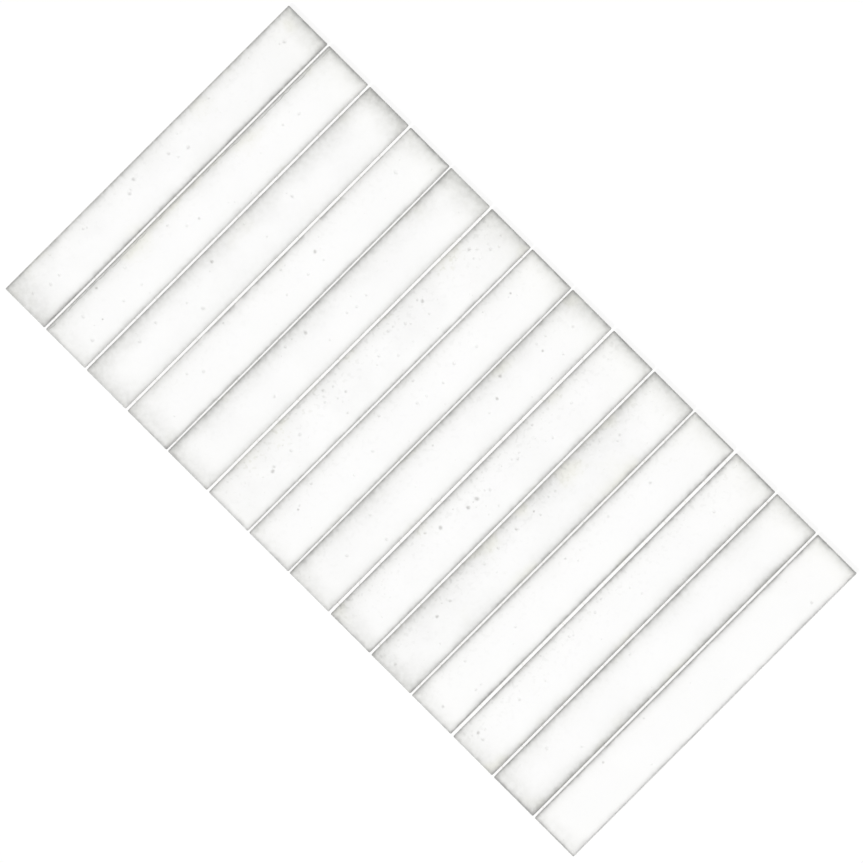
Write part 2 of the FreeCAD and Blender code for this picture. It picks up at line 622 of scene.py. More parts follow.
@dataclass(frozen=True)
class GlazeFinish:
    """White gloss glaze of one finger: clouded, greyer at its edges from thinner glaze and painted shade,
    darker in its pits from grime and painted shade.

    The finger's place and sizes and the bump's depth are in metres.
    """

    seed: int
    middle: float
    half_width: float
    half_length: float
    look: FingerLook
    white: Colour = (0.936, 0.935, 0.9345, 1.0)
    # Grey of thinner glaze, also used as the painted shade of each edge's band
    thin_glaze_and_shade: Colour = (0.465, 0.465, 0.445, 1.0)
    # Darker grey, the painted shade of the tight line inside each edge, partly thinner glaze
    edge: Colour = (0.36, 0.358, 0.352, 1.0)
    warm: Colour = (0.93, 0.925, 0.865, 1.0)
    # Colour that the pits darken to: grime and painted shade in their hollows
    pit: Colour = (0.30, 0.29, 0.27, 1.0)
    cloud_scale: float = 28.0
    roughness: float = 0.14
    ior: float = 1.52
    bump_depth: float = 0.00001

    def build(self, effects: Effects) -> Material:
        """Makes the material.

        Args:
            effects: The shared node groups.

        Returns:
            The new material.
        """
        material, wiring, shader = new_material(f"glaze_{self.seed:02d}")
        look, seed = self.look, float(self.seed)
        strengths = {f"{edge.value} Band": value for edge, value in zip(Edge, look.bands)}
        strengths |= {f"{edge.value} Line": value for edge, value in zip(Edge, look.lines)}
        edges = place_effect(
            wiring, effects.edge_shade_and_thinner_glaze, Middle=self.middle, Half_Width=self.half_width,
            Half_Length=self.half_length, Seed=seed, Spread=look.spread, End_Spread=look.end_spread,
            Start_Fade=look.start_fade, Line_Breaks=look.line_breaks, Grit=look.grit, **strengths,
        )
        mottle = place_effect(wiring, effects.mottle, Scale=self.cloud_scale, Seed=seed)
        # The pits darken towards their bottoms: grime and painted shade in the hollow
        pit_darkness = wiring.node("ShaderNodeAttribute", attribute_name="pit_darkness").outputs["Fac"]
        warmth = WARM_PATCHES.most * look.warmth
        patches = wiring.drift(WARM_PATCHES, wiring.place(), seed + PATCH_SEED, warmth)
        warmed = wiring.math("MAXIMUM", wiring.times(patches, edges["Band"]), edges["Tint"], clamp=True)
        tint = wiring.blend(warmed, self.white, self.warm)
        clouded = wiring.blend(wiring.times(mottle["Cloud"], look.clouding), tint, self.thin_glaze_and_shade)
        # Painted shade, partly thinner glaze: the band and the line grey the face where it rounds over at its
        # edges
        edge_shaded = wiring.blend(edges["Line"], wiring.blend(edges["Band"], clouded, self.thin_glaze_and_shade), self.edge)
        lined = self.crawl_line(wiring, edges["Start Gap"], edge_shaded) if look.crawl else edge_shaded
        colour = wiring.blend(pit_darkness, lined, self.pit)
        wiring.filled(shader, {"Base Color": colour, "Roughness": self.roughness, "IOR": self.ior})
        add_bump(wiring, shader, mottle["Grain"], self.bump_depth)
        return material

    def crawl_line(self, wiring: Wiring, gap: Socket, colour: Socket) -> Socket:
        """Adds the broken grey line where the glaze has drawn back just inside the row-start edge.

        Args:
            wiring: The material's wiring.
            gap: Distance in from the row-start edge, in metres.
            colour: Colour that the line is laid on.

        Returns:
            The colour with the line on it.
        """
        place = wiring.place()
        drifts = [wiring.drift(kind, place, self.seed) for kind in (CRAWL_PLACE, CRAWL_SCALLOPS)]
        off = wiring.math("ABSOLUTE", wiring.less(gap, wiring.plus(*drifts)))
        line = wiring.span(off, *CRAWL_WIDTH, 1.0, 0.0)
        broken = wiring.drift(CRAWL_BREAKS, place, self.seed + BREAK_SEED, self.look.crawl)
        return wiring.blend(wiring.times(line, broken), colour, self.thin_glaze_and_shade)


@dataclass(frozen=True)
class PlainFinish:
    """Mottled matt finish, for the bare fired body, the net's yarn and the glue.

    The bump's depth and how far light gets in are in metres, and the scales in blotches a metre.
    """

    name: str
    colour: Colour
    second: Colour
    roughness: float
    scale: float
    fine_scale: float
    bump_depth: float
    see_through: float = 0.0
    see_through_reach: float = 0.0006

    def build(self, effects: Effects) -> Material:
        """Makes the material.

        Args:
            effects: The shared node groups.

        Returns:
            The new material.
        """
        material, wiring, shader = new_material(self.name)
        mottle = place_effect(wiring, effects.mottle, Scale=self.scale, Fine_Scale=self.fine_scale)
        colour = wiring.blend(mottle["Cloud"], self.colour, self.second)
        wiring.filled(shader, {"Base Color": colour, "Roughness": self.roughness})
        if self.see_through:
            reach = {"Subsurface Scale": self.see_through_reach, "Subsurface Radius": (1.0, 1.0, 1.0)}
            wiring.filled(shader, {"Subsurface Weight": self.see_through, **reach})
        add_bump(wiring, shader, mottle["Grain"], self.bump_depth)
        return material


# Fingers

# A pinhole's rings from its middle out, each with its share of the radius, of the depth and of the darkening,
# grime and painted shade that is most at the bottom
PIT_RINGS = ((0.0, 1.0, 1.0), (0.38, 0.86, 0.8), (0.72, 0.42, 0.45), (1.0, 0.0, 0.2), (1.4, -0.05, 0.0))


@dataclass
class Finger:
    """One glazed finger, with its sizes in millimetres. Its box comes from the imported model.

    The face lies a little below the box's top, unevenly, and its edge wanders inwards. The glaze runs down
    to an uneven line, where it ends in a bead: the levels are where that starts and is thickest. A pit's
    room is how far the face's other points stay away from it, as a share of its radius and as a gap. Strays
    are pulled towards the row-start edge.
    """

    node: str
    number: int
    look: FingerLook
    groove_spacing: float
    cushion_width: float = 4.0
    cushion_slope: float = 20.0
    arris_radius: float = 0.8
    arris_steps: int = 5
    corner_radius: float = 0.5
    corner_growth: float = 0.6
    side_draft: float = 0.25
    mitre_sharpness: float = 3.0
    sink: float = 0.06
    sink_level: float = 1.4
    swell_waves: Pair = (9.0, 45.0)
    edge_wander: float = 0.045
    wander_waves: Pair = (12.0, 60.0)
    glaze_line: float = 2.0
    glaze_run: float = 0.7
    run_waves: Pair = (5.0, 40.0)
    glaze_lip: float = 0.09
    bead: float = 0.03
    bead_levels: Pair = (0.5, 0.22)
    foot_bevel: float = 0.3
    groove_count: int = 5
    groove_width: float = 2.0
    groove_depth: float = 0.4
    groove_draft: float = 0.18
    groove_margin: float = 7.0
    groove_rounding: float = 0.8
    pit_scale: float = 1.5
    pit_depth: float = 0.3
    pit_stretch: float = 0.22
    pit_lobe: float = 0.08
    pit_sides: int = 10
    pit_room: Pair = (1.6, 0.1)
    stray_margin: float = 1.2
    stray_pull: Pair = (1.5, 1.0)
    stray_gap: float = 2.0
    stray_radius: Pair = (0.2, 0.4)
    stray_darkness: Pair = (0.02, 0.12)
    face_loops: tuple[float, ...] = (0.85, 1.3, 1.85, 2.5, 3.2, 4.0, 4.9)
    grid: float = 0.9
    grid_gap: float = 0.6
    grid_jitter: float = 0.22
    sharp_angle: float = 38.0
    grain: LoopGrain = LoopGrain(150, 20, 5)
    groove_grain: LoopGrain = LoopGrain(40, 2, 4)

    def __post_init__(self) -> None:
        """Reads the finger's box and draws its random fields."""
        low, high = (np.array(corner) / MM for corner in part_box(self.node))
        self.middle = (low[0] + high[0]) / 2
        self.half_x = (high[0] - low[0]) / 2
        self.half_y = (high[1] - low[1]) / 2
        self.back = low[2]
        self.face = high[2]
        self.rng = np.random.default_rng(self.number)
        self.swell = Ripple(self.rng, *self.swell_waves)
        self.wander = Ripple(self.rng, *self.wander_waves)
        self.run = Ripple(self.rng, *self.run_waves)
        self.slope = math.radians(self.cushion_slope)
        self.rim_inset = self.arris_radius * (1 - math.sin(self.slope))
        self.cushion_radius = (self.cushion_width - self.rim_inset) / math.sin(self.slope)
        self.pits = self.draw_pits()

    def draw_pits(self) -> Array:
        """Lists the finger's own pinholes and some tiny strays, more of them near the row-start edge.

        Returns:
            One row for each pit: its x, y, radius and darkening.
        """
        own = self.look.pinholes
        pits = [(pit.across, pit.along, self.pit_scale * pit.radius, pit.pit_darkness) for pit in own]
        reach = np.array([self.half_x, self.half_y]) - self.stray_margin
        for _ in range(self.look.strays):
            share = self.rng.uniform(0, 1, 2) ** self.stray_pull
            spot = reach * (2 * share - 1)
            radius = self.rng.uniform(*self.stray_radius)
            if all(math.dist(spot, pit[:2]) > self.stray_gap * (radius + pit[2]) for pit in pits):
                pits.append((*spot, radius, self.rng.uniform(*self.stray_darkness)))
        return np.array(pits)

    def fall(self, inset: Array) -> Array:
        """How far the cushion has fallen at each distance in from an edge."""
        run = np.clip(self.cushion_width - inset, 0, self.cushion_width)
        return self.cushion_radius - np.sqrt(self.cushion_radius**2 - run**2)

    def height(self, points: Array) -> Array:
        """Height of the glazed face, its pits left out.

        Args:
            points: Places in the finger's own plane, of shape (n, 2).

        Returns:
            The height at each of them.
        """
        across = self.fall(self.half_x - np.abs(points[:, 0]))
        along = self.fall(self.half_y - np.abs(points[:, 1]))
        cushion = (across**self.mitre_sharpness + along**self.mitre_sharpness) ** (1 / self.mitre_sharpness)
        return self.face - cushion - self.sink * (self.sink_level + self.swell.at(points))

    def loop(self, inset: Array | float) -> Array:
        """Outline drawn in from the finger's edge, with its slight wander.

        Args:
            inset: How far it is drawn in, as one number or one for each point.

        Returns:
            Its points, of shape (n, 2).
        """
        drawn = inset * np.ones(self.grain.total)
        typical = float(np.mean(drawn))
        radius = self.corner_radius + max(0.0, self.corner_growth * typical)
        points, normals = rounded_rectangle(self.half_x, self.half_y, self.corner_radius, self.grain)
        inner, _ = rounded_rectangle(self.half_x - typical, self.half_y - typical, radius, self.grain)
        share = max(0.0, 1 - typical / self.cushion_width)
        stray = self.edge_wander * (1 + self.wander.at(points)) / 2 * share
        return inner - normals * (stray + drawn - typical)[:, None]

    def rings(self) -> tuple[list[Array], int]:
        """Loops from the rim of the face, over the arris and down the side to the edge of the back.

        Returns:
            The loops, each of shape (n, 3), and the number of the one at the glaze's lower edge.
        """
        rim = self.loop(self.rim_inset)
        rim_height = self.height(rim)
        loops = [np.column_stack([rim, rim_height])]
        for angle in np.linspace(self.slope, math.pi / 2, self.arris_steps + 1)[1:]:
            inset = self.arris_radius * (1 - math.sin(angle))
            level = rim_height - self.arris_radius * (math.cos(self.slope) - math.cos(angle))
            loops.append(np.column_stack([self.loop(inset), level]))
        shoulder = loops[-1][:, 2]
        line = self.back + self.glaze_line + self.glaze_run * self.run.at(rim)
        above, bulge = self.bead_levels
        middle = (shoulder + line) / 2
        glazed = [(middle, 0.0), (line + above, 0.0), (line + bulge, -self.bead), (line, 0.0)]
        bare = [
            (line - self.bead, self.glaze_lip), ((line + self.back) / 2, self.glaze_lip),
            (self.back + self.foot_bevel, self.glaze_lip), (self.back, self.glaze_lip + self.foot_bevel),
        ]
        for level, inwards in glazed + bare:
            lean = self.side_draft * (shoulder - level) / (shoulder - self.back)
            loops.append(np.column_stack([self.loop(lean + inwards), level + 0 * line]))
        return loops, len(loops) - len(bare) - 1

    def face_points(self) -> tuple[Array, Array]:
        """Points of the glazed face inside its rim: loops over the cushion, a loose grid and rings of pits.

        Returns:
            The points, of shape (n, 3), and how darkened each is by grime and painted shade, from 0 to 1.
        """
        loops = [self.loop(inset) for inset in self.face_loops]
        reach = np.array([self.half_x, self.half_y]) - self.face_loops[-1] - self.grid_gap * self.grid
        counts = np.round(2 * reach / self.grid).astype(int) + 1
        across, along = (np.linspace(-half, half, count) for half, count in zip(reach, counts))
        grid = np.stack(np.meshgrid(across, along), axis=-1).reshape(-1, 2)
        grid = grid + self.rng.uniform(-self.grid_jitter, self.grid_jitter, grid.shape) * self.grid
        flat = np.concatenate([*loops, grid])
        room, gap = self.pit_room
        for x, y, radius, _ in self.pits:
            flat = flat[np.hypot(flat[:, 0] - x, flat[:, 1] - y) > room * radius + gap]
        points = [np.column_stack([flat, self.height(flat)])]
        darkness_levels = [np.zeros(len(flat))]
        for pit in self.pits:
            ring, pit_darkness = self.pit_points(pit)
            points.append(ring)
            darkness_levels.append(pit_darkness)
        return np.concatenate(points), np.concatenate(darkness_levels)

    def pit_points(self, pit: Array) -> tuple[Array, Array]:
        """Rings of one pinhole: an uneven bowl with a low round lip, darker at the bottom with grime and
        painted shade.

        Args:
            pit: Its x, y, radius and darkening.

        Returns:
            Its points, of shape (n, 3), and how darkened each is.
        """
        x, y, radius, pit_darkness = pit
        stretch, heading, lobe = self.rng.uniform((0.0, 0.0, 0.0), (self.pit_stretch, math.tau, math.tau))
        points, darkness_levels = [], []
        for share, depth, darkness_share in PIT_RINGS:
            count = self.pit_sides if share else 1
            turn = np.linspace(0, math.tau, count, endpoint=False) + share
            uneven = stretch * np.cos(2 * turn + heading) + self.pit_lobe * np.cos(3 * turn + lobe)
            reach = share * radius * (1 + (uneven if share <= 1 else 0.0))
            flat = np.column_stack([x + reach * np.cos(turn), y + reach * np.sin(turn)])
            points.append(np.column_stack([flat, self.height(flat) - self.pit_depth * radius * depth]))
            darkness_levels.append(np.full(count, darkness_share * pit_darkness))
        return np.concatenate(points), np.concatenate(darkness_levels)

    def back_points(self, first: int) -> tuple[Array, list[range]]:
        """Points of the back inside its edge: both edges of each groove.

        Args:
            first: Number that the first of these points gets in the back's list.

        Returns:
            The points, of shape (n, 3), and the grooves' edges as chains of point numbers.
        """
        points, chains = [], []
        for index in range(self.groove_count):
            x = (index - (self.groove_count - 1) / 2) * self.groove_spacing
            for draft, depth in ((0.0, 0.0), (self.groove_draft, self.groove_depth)):
                half_x = self.groove_width / 2 - draft
                half_y = self.half_y - self.groove_margin - draft
                radius = self.groove_rounding * half_x
                flat, _ = rounded_rectangle(half_x, half_y, radius, self.groove_grain)
                start = first + len(chains) * len(flat)
                points.append(np.column_stack([flat + (x, 0), np.full(len(flat), self.back + depth)]))
                chains.append(range(start, start + len(flat)))
        return np.concatenate(points), chains

    def build(self) -> Object:
        """Makes the finger's mesh as one closed skin.

        Returns:
            The new object, with its faces marked as glaze or bare body and its pits' darkening, grime and
            painted shade, as an attribute.
        """
        loops, lip = self.rings()
        count = self.grain.total
        faces = ring_faces(len(loops), count)
        finishes = [(Part.GLAZE if i < lip * count else Part.BISQUE).value for i in range(len(faces))]
        inner, darkness_levels = self.face_points()
        inner_first = len(loops) * count
        for corners in triangulate(loops[0][:, :2], inner[:, :2], []):
            faces.append(tuple(c if c < count else inner_first + c - count for c in corners))
            finishes.append(Part.GLAZE.value)
        grooves, chains = self.back_points(count)
        grooves_first, foot_first = inner_first + len(inner), (len(loops) - 1) * count
        for corners in triangulate(loops[-1][:, :2], grooves[:, :2], chains):
            numbers = [foot_first + c if c < count else grooves_first + c - count for c in corners]
            faces.append(tuple(reversed(numbers)))
            finishes.append(Part.BISQUE.value)
        points = np.concatenate([*loops, inner, grooves]) + (self.middle, 0, 0)
        made = make_object(self.node + "_glazed", points, faces, finishes)
        made.data.set_sharp_from_angle(angle=math.radians(self.sharp_angle))
        # How much each point darkens, grime and painted shade in the pits' hollows
        pit_darkness = np.zeros(len(points), dtype=np.float32)
        pit_darkness[inner_first:grooves_first] = darkness_levels
        made.data.attributes.new("pit_darkness", "FLOAT", "POINT").data.foreach_set("value", pit_darkness)
        return made

    def dress(self, made: Object, effects: Effects, bisque: Material) -> None:
        """Gives the finger its glaze and its bare body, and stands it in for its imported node.

        Args:
            made: The finger's object.
            effects: The shared node groups.
            bisque: The bare body's material.
        """
        finish = GlazeFinish(self.number, self.middle * MM, self.half_x * MM, self.half_y * MM, self.look)
        made.data.materials.append(finish.build(effects))
        made.data.materials.append(bisque)
        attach(made, BODY)
        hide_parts(self.node)


# Net and glue


@dataclass
class BackingNet:
    """Woven net across the backs: pairs of yarns twisted round flat ones. Sizes are in millimetres."""

    node: str
    pitch: float
    seed: int = 77
    warp_swing: float = 0.2
    warp_half_width: float = 0.19
    yarn_half_height: float = 0.105
    weft_yarns: int = 2
    weft_gap: float = 0.40
    weft_pinch: float = 0.25
    weft_sag: float = 0.04
    weft_half_width: float = 0.12
    steps_per_pitch: int = 8
    sides: int = 5
    edge_room: float = 0.5
    end_loss: float = 1.2

    def __post_init__(self) -> None:
        """Reads the net's box."""
        low, high = (np.array(corner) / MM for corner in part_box(self.node))
        self.half = (high[:2] - low[:2]) / 2
        self.level = (low[2] + high[2]) / 2
        self.lift = (high[2] - low[2]) / 2 - self.yarn_half_height
        self.rng = np.random.default_rng(self.seed)

    def places(self, half: float) -> Array:
        """Places of the threads that fit in twice half, a pitch apart and centred."""
        count = int((2 * half - self.edge_room) / self.pitch) + 1
        return (np.arange(count) - (count - 1) / 2) * self.pitch

    def run(self, half: float) -> Array:
        """Places along one yarn, which stops a little short of half both ways."""
        ends = half - self.rng.uniform(0, self.end_loss, 2)
        return np.linspace(-ends[0], ends[1], int(2 * half / self.pitch * self.steps_per_pitch))

    def tube(self, path: Array, half_width: float) -> Array:
        """Flattened tube along a path that runs mostly along one row axis.

        Args:
            path: Its middle line, of shape (n, 3).
            half_width: Half of its width.

        Returns:
            Its points, ring by ring, of shape (n, 3).
        """
        way = path[-1] - path[0]
        side = np.array([-way[1], way[0], 0.0]) / math.hypot(way[0], way[1])
        turn = np.linspace(0, math.tau, self.sides, endpoint=False)
        flat = np.outer(np.cos(turn), side) * half_width
        section = flat + np.outer(np.sin(turn), (0, 0, 1)) * self.yarn_half_height
        return (path[:, None, :] + section[None, :, :]).reshape(-1, 3)

    def warp_paths(self) -> list[Array]:
        """Lays out the twisted pairs along Y.

        Returns:
            Their middle lines, each of shape (n, 3).
        """
        paths = []
        for x in self.places(self.half[0]):
            for way in (1, -1):
                y = self.run(self.half[1])
                swing = self.warp_swing * (way * np.cos(math.pi * y / self.pitch))
                rise = self.lift * (way * np.sin(math.pi * y / self.pitch))
                paths.append(np.column_stack([x + swing, y, self.level + rise]))
        return paths

    def weft_paths(self) -> list[Array]:
        """Lays out the flat yarns along X, drawn together where the pairs cross them.

        Returns:
            Their middle lines, each of shape (n, 3).
        """
        paths = []
        for y in self.places(self.half[1]):
            for yarn in range(self.weft_yarns):
                x = self.run(self.half[0])
                pinch = 1 - self.weft_pinch + self.weft_pinch * np.cos(math.tau * x / self.pitch)
                offset = (yarn - (self.weft_yarns - 1) / 2) * self.weft_gap * pinch
                sag = self.weft_sag * np.sin(math.tau * x / self.pitch + yarn)
                paths.append(np.column_stack([x, y + offset, self.level + sag]))
        return paths

    def build(self) -> Object:
        """Makes all the yarns.

        Returns:
            The net as one object.
        """
        bundle = Bundle()
        sets = ((self.warp_paths(), self.warp_half_width), (self.weft_paths(), self.weft_half_width))
        for paths, half_width in sets:
            for path in paths:
                bundle.add(self.tube(path, half_width), self.sides, turned=True)
        return bundle.finish("woven_net")

    def dress(self, made: Object, yarn: Material) -> None:
        """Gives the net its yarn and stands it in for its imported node.

        Args:
            made: The net's object.
            yarn: The yarn's material.
        """
        made.data.materials.append(yarn)
        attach(made, BODY)
        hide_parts(self.node)


@dataclass
class GlueDabs:
    """Dabs of glue that bind the net to each finger's back. Sizes are in millimetres.

    The profile runs from a dab's edge to its middle: each ring's share of the radius, and its level from
    the back. The lobes are how much the edge waves two, three and seven times round.
    """

    fingers: list[Finger]
    rows: tuple[float, ...]
    seed: int = 5
    radius: float = 3.1
    radius_range: Pair = (0.85, 1.12)
    stretch: float = 1.25
    stray: Pair = (0.8, 0.5)
    lobes: tuple[float, ...] = (0.06, 0.03, 0.02)
    profile: tuple[Pair, ...] = (
        (1.0, 0.02), (0.985, -0.12), (0.93, -0.24), (0.78, -0.34), (0.5, -0.38), (0.2, -0.39),
    )
    sides: int = 26

    def dab(self, x: float, y: float, back: float, rng: np.random.Generator) -> Array:
        """One flattened, uneven drop under a finger's back.

        Args:
            x: Its middle along the row.
            y: Its middle along the finger.
            back: Level of the finger's back.
            rng: Seeded source of its shape.

        Returns:
            Its points, ring by ring, of shape (n, 3).
        """
        turn = np.linspace(0, math.tau, self.sides, endpoint=False)
        phase = rng.uniform(0, math.tau, 3)
        size = self.radius * rng.uniform(*self.radius_range)
        two, three, seven = self.lobes
        edge = size * (1 + two * np.sin(2 * turn + phase[0]) + three * np.sin(3 * turn + phase[1]))
        edge *= 1 + seven * np.sin(7 * turn + phase[2])
        rings = []
        for share, level in self.profile:
            across, along = share * edge * np.cos(turn), self.stretch * share * edge * np.sin(turn)
            rings.append(np.column_stack([x + across, y + along, np.full(self.sides, back + level)]))
        return np.concatenate(rings)

    def build(self) -> Object:
        """Makes all the dabs.

        Returns:
            The dabs as one object.
        """
        rng = np.random.default_rng(self.seed)
        bundle = Bundle()
        across, along = self.stray
        for finger in self.fingers:
            for row in self.rows:
                x = finger.middle + rng.uniform(-across, across)
                bundle.add(self.dab(x, row + rng.uniform(-along, along), finger.back, rng), self.sides)
        return bundle.finish("glue_dabs")

    def dress(self, made: Object, glue: Material) -> None:
        """Gives the dabs their finish.

        Args:
            made: The dabs' object.
            glue: The glue's material.
        """
        made.data.materials.append(glue)
        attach(made, BODY)


# Studio


@dataclass
class Studio:
    """White table, soft overhead light and a camera straight above, rolled by an eighth of a turn.

    Sizes are in metres, but the sensor's width and the table's reach in millimetres, and angles in degrees.
    The softbox starts and is full at heights in the sky, where 1 is straight up.
    """

    view_width: float = 0.3118
    camera_height: float = 8.0
    clip_height: float = 32.0
    sensor_width: float = 36.0
    roll: float = 45.0
    framing_shift: float = 0.00022
    sky_base: float = 0.05
    sky_rise: float = 0.36
    sky_tilt: Pair = (0.30, -0.30)
    softbox: float = 1.37
    softbox_edge: float = 0.80
    softbox_full: float = 0.995
    sun_share: float = 0.486
    sun_tilt: float = 16.0
    sun_softness: float = 5.0
    table_reach: float = 5000.0
    table_drop: float = 0.00005
    floor_glow: float = 0.86
    floor_seen: float = 0.15
    floor_bounce: float = 0.6
    floor_light: float = 0.7

    def camera(self) -> None:
        """Makes the camera at the photograph's viewing angle."""
        data = bpy.data.cameras.new("camera")
        made = bpy.data.objects.new("camera", data)
        bpy.context.scene.collection.objects.link(made)
        made.location = (self.framing_shift, 0.0, self.camera_height)
        made.rotation_euler = (0.0, 0.0, math.radians(self.roll))
        data.sensor_width = self.sensor_width
        data.lens = data.sensor_width * (self.camera_height - FACE_LEVEL) / self.view_width
        data.clip_end = self.clip_height
        bpy.context.scene.camera = made

    def world(self) -> None:
        """Lights the room from a pale sky and a softbox overhead. To the camera, all of it is white."""
        world = bpy.data.worlds.new("studio")
        wiring = cleared(world)
        split = wiring.node("ShaderNodeSeparateXYZ")
        wiring.feed(split.inputs[0], wiring.node("ShaderNodeTexCoord").outputs["Generated"])
        lean = [wiring.times(split.outputs[axis], tilt) for axis, tilt in zip("XY", self.sky_tilt)]
        height = wiring.plus(split.outputs["Z"], wiring.plus(*lean))
        sky = wiring.times(wiring.math("MAXIMUM", height, 0.0), self.sky_rise)
        box = wiring.span(split.outputs["Z"], self.softbox_edge, self.softbox_full, 0.0, self.softbox)
        strength = wiring.plus(wiring.plus(sky, self.sky_base), box)
        seen = wiring.node("ShaderNodeLightPath").outputs["Is Camera Ray"]
        lit = wiring.math("MULTIPLY_ADD", strength, wiring.less(1.0, seen), seen)
        white = {"Color": (1.0, 1.0, 1.0, 1.0), "Strength": lit}
        background = wiring.filled(wiring.node("ShaderNodeBackground"), white)
        wiring.feed(wiring.node("ShaderNodeOutputWorld").inputs["Surface"], background)
        bpy.context.scene.world = world

    def sun(self) -> None:
        """Adds the one lamp: a small sun nearly overhead, along the joints so that it lights the net."""
        data = bpy.data.lights.new("overhead", "SUN")
        data.energy = math.pi * self.sun_share
        data.angle = math.radians(self.sun_softness)
        made = bpy.data.objects.new("overhead", data)
        bpy.context.scene.collection.objects.link(made)
        tilt = math.radians(self.sun_tilt)
        towards = Vector((0.0, -math.sin(tilt), math.cos(tilt)))
        made.rotation_euler = towards.to_track_quat("Z", "Y").to_euler()
        made.visible_glossy = False

    def floor(self) -> None:
        """Lays the white table, which glows to the camera, so that the part's shadow on it is faint."""
        corners = [(-1, -1, 0), (1, -1, 0), (1, 1, 0), (-1, 1, 0)]
        made = make_object("table", self.table_reach * np.array(corners), [(0, 1, 2, 3)])
        made.location.z = -self.table_drop
        material = bpy.data.materials.new("table_white")
        wiring = cleared(material)
        rays = wiring.node("ShaderNodeLightPath").outputs
        seen = wiring.math("MAXIMUM", rays["Is Camera Ray"], rays["Is Glossy Ray"])
        strength = wiring.span(seen, 0.0, 1.0, self.floor_light, self.floor_glow)
        glow = wiring.filled(wiring.node("ShaderNodeEmission"), {"Strength": strength})
        shades = [(value, value, value, 1.0) for value in (self.floor_bounce, self.floor_seen)]
        matt = wiring.filled(wiring.node("ShaderNodeBsdfDiffuse"), {"Color": wiring.blend(seen, *shades)})
        both = wiring.filled(wiring.node("ShaderNodeAddShader"), {0: glow, 1: matt})
        behind = wiring.node("ShaderNodeNewGeometry").outputs["Backfacing"]
        nothing = wiring.node("ShaderNodeBsdfTransparent").outputs[0]
        from_below = wiring.filled(wiring.node("ShaderNodeMixShader"), {0: behind, 1: both, 2: nothing})
        wiring.feed(wiring.node("ShaderNodeOutputMaterial").inputs["Surface"], from_below)
        made.data.materials.append(material)

    def build(self) -> None:
        """Sets up the camera, the lights and the table."""
        self.camera()
        self.world()
        self.sun()
        self.floor()
        bpy.context.scene.view_settings.view_transform = "Standard"


BISQUE = PlainFinish(
    name="bare_body", colour=(0.80, 0.78, 0.72, 1.0), second=(0.72, 0.69, 0.62, 1.0), roughness=0.85,
    scale=160.0, fine_scale=2600.0, bump_depth=0.00006,
)
YARN = PlainFinish(
    name="net_yarn", colour=(0.93, 0.93, 0.92, 1.0), second=(0.88, 0.88, 0.86, 1.0), roughness=0.55,
    scale=500.0, fine_scale=5200.0, bump_depth=0.00003, see_through=1.0,
)
GLUE = PlainFinish(
    name="dried_glue", colour=(0.84, 0.84, 0.80, 1.0), second=(0.76, 0.75, 0.69, 1.0), roughness=0.3,
    scale=220.0, fine_scale=1500.0, bump_depth=0.00003, see_through=0.3,
)


def pits(*rows: tuple[float, ...]) -> tuple[Pinhole, ...]:
    """Pinholes from rows of places along and across, radii and, where it isn't usual, darkening."""
    return tuple(Pinhole(*row) for row in rows)


# How dark pits are, from grime and painted shade, where that isn't usual
STARK = 0.5
DARK = 0.3
SOFT = 0.1

